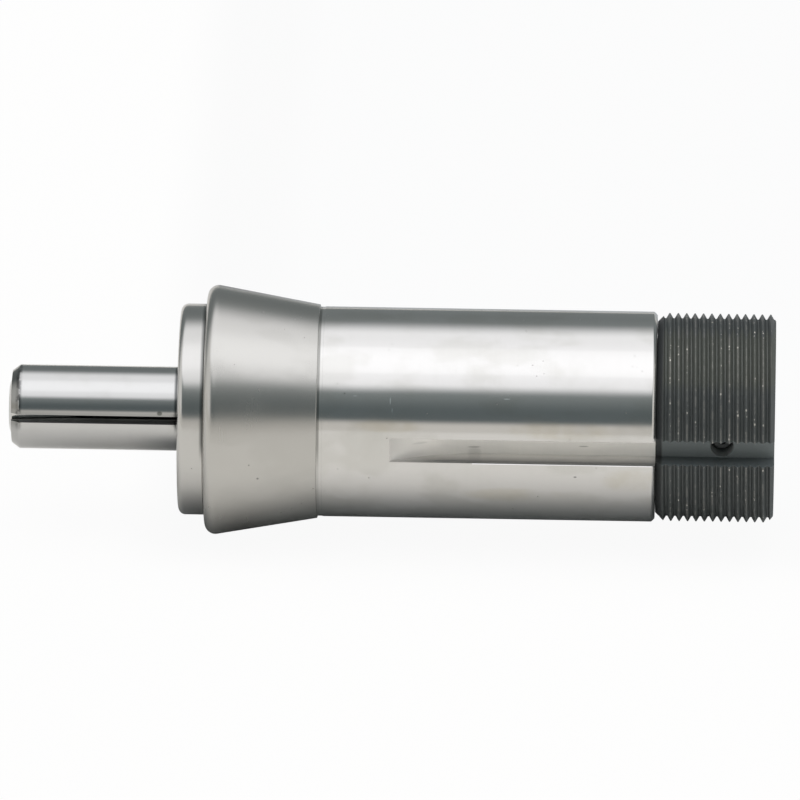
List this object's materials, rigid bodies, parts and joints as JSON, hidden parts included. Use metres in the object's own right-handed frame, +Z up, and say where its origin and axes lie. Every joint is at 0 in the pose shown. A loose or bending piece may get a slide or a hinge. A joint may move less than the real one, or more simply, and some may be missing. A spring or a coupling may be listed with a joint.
{
  "type": "expanding collet",
  "caption": "Taper-headed collet body with a slit plug that grips inside a bore when a draw bolt is pulled back, a stop collar, a keyway and a threaded draw sleeve.",
  "frame": {"origin": "on the tool's axis, in the plane of the front face of the body's tapered head, where the spindle's taper starts to hold it", "axes": "+X along the tool's axis from the plug to the draw thread, which is the way the spindle draws it; the keyway faces -Y; +Z up"},
  "size_m": [0.1157, 0.0376, 0.0376],
  "materials": {
    "ground_steel": "cylindrically ground, bright, with fine lines round the axis",
    "satin_steel": "satin turned",
    "bright_steel": "bright ground",
    "black_oxide": "black oxide, oiled",
    "spring_steel": "dark drawn spring steel",
    "bronze": "turned bearing bronze",
    "brass": "turned brass"
  },
  "bodies": {
    "body": {"collet_body": "ground_steel", "stop_collar": "satin_steel", "collar_screw_1": "black_oxide", "collar_screw_2": "black_oxide", "collar_screw_3": "black_oxide", "arbor_root": "bright_steel", "guide_bush": "bronze", "return_spring": "spring_steel", "spring_seat_washer": "bright_steel", "retaining_ring": "spring_steel", "guide_pin_upper": "bright_steel", "guide_pin_lower": "bright_steel"},
    "draw_unit": {"draw_bolt": "bright_steel", "draw_sleeve": "black_oxide", "spring_collar": "spring_steel", "spring_collar_pin": "bright_steel", "lock_screw": "black_oxide", "lock_pad": "brass"},
    "finger_1": {"arbor_finger_1": "bright_steel"},
    "finger_2": {"arbor_finger_2": "bright_steel"},
    "finger_3": {"arbor_finger_3": "bright_steel"}
  },
  "joints": [
    {"name": "draw_slide", "type": "slide", "parent": "body", "child": "draw_unit", "axis": [1, 0, 0], "range_m": [0, 0.002], "stiffness_N_per_m": 2000, "springref_m": -0.003, "deforming": ["return_spring"]},
    {"name": "finger_flex_1", "type": "hinge", "parent": "body", "child": "finger_1", "pos_m": [0.015, 0, 0], "axis": [0, -0.8281, 0.5606], "range_deg": [0, 0.36]},
    {"name": "finger_flex_2", "type": "hinge", "parent": "body", "child": "finger_2", "pos_m": [0.015, 0, 0], "axis": [0, -0.0715, -0.9974], "range_deg": [0, 0.36]},
    {"name": "finger_flex_3", "type": "hinge", "parent": "body", "child": "finger_3", "pos_m": [0.015, 0, 0], "axis": [0, 0.8996, 0.4368], "range_deg": [0, 0.36]}
  ],
  "couplings": [
    {"joint": "finger_flex_1", "follows": "draw_slide", "rad_per_m": 3.07},
    {"joint": "finger_flex_2", "follows": "draw_slide", "rad_per_m": 3.07},
    {"joint": "finger_flex_3", "follows": "draw_slide", "rad_per_m": 3.07}
  ]
}
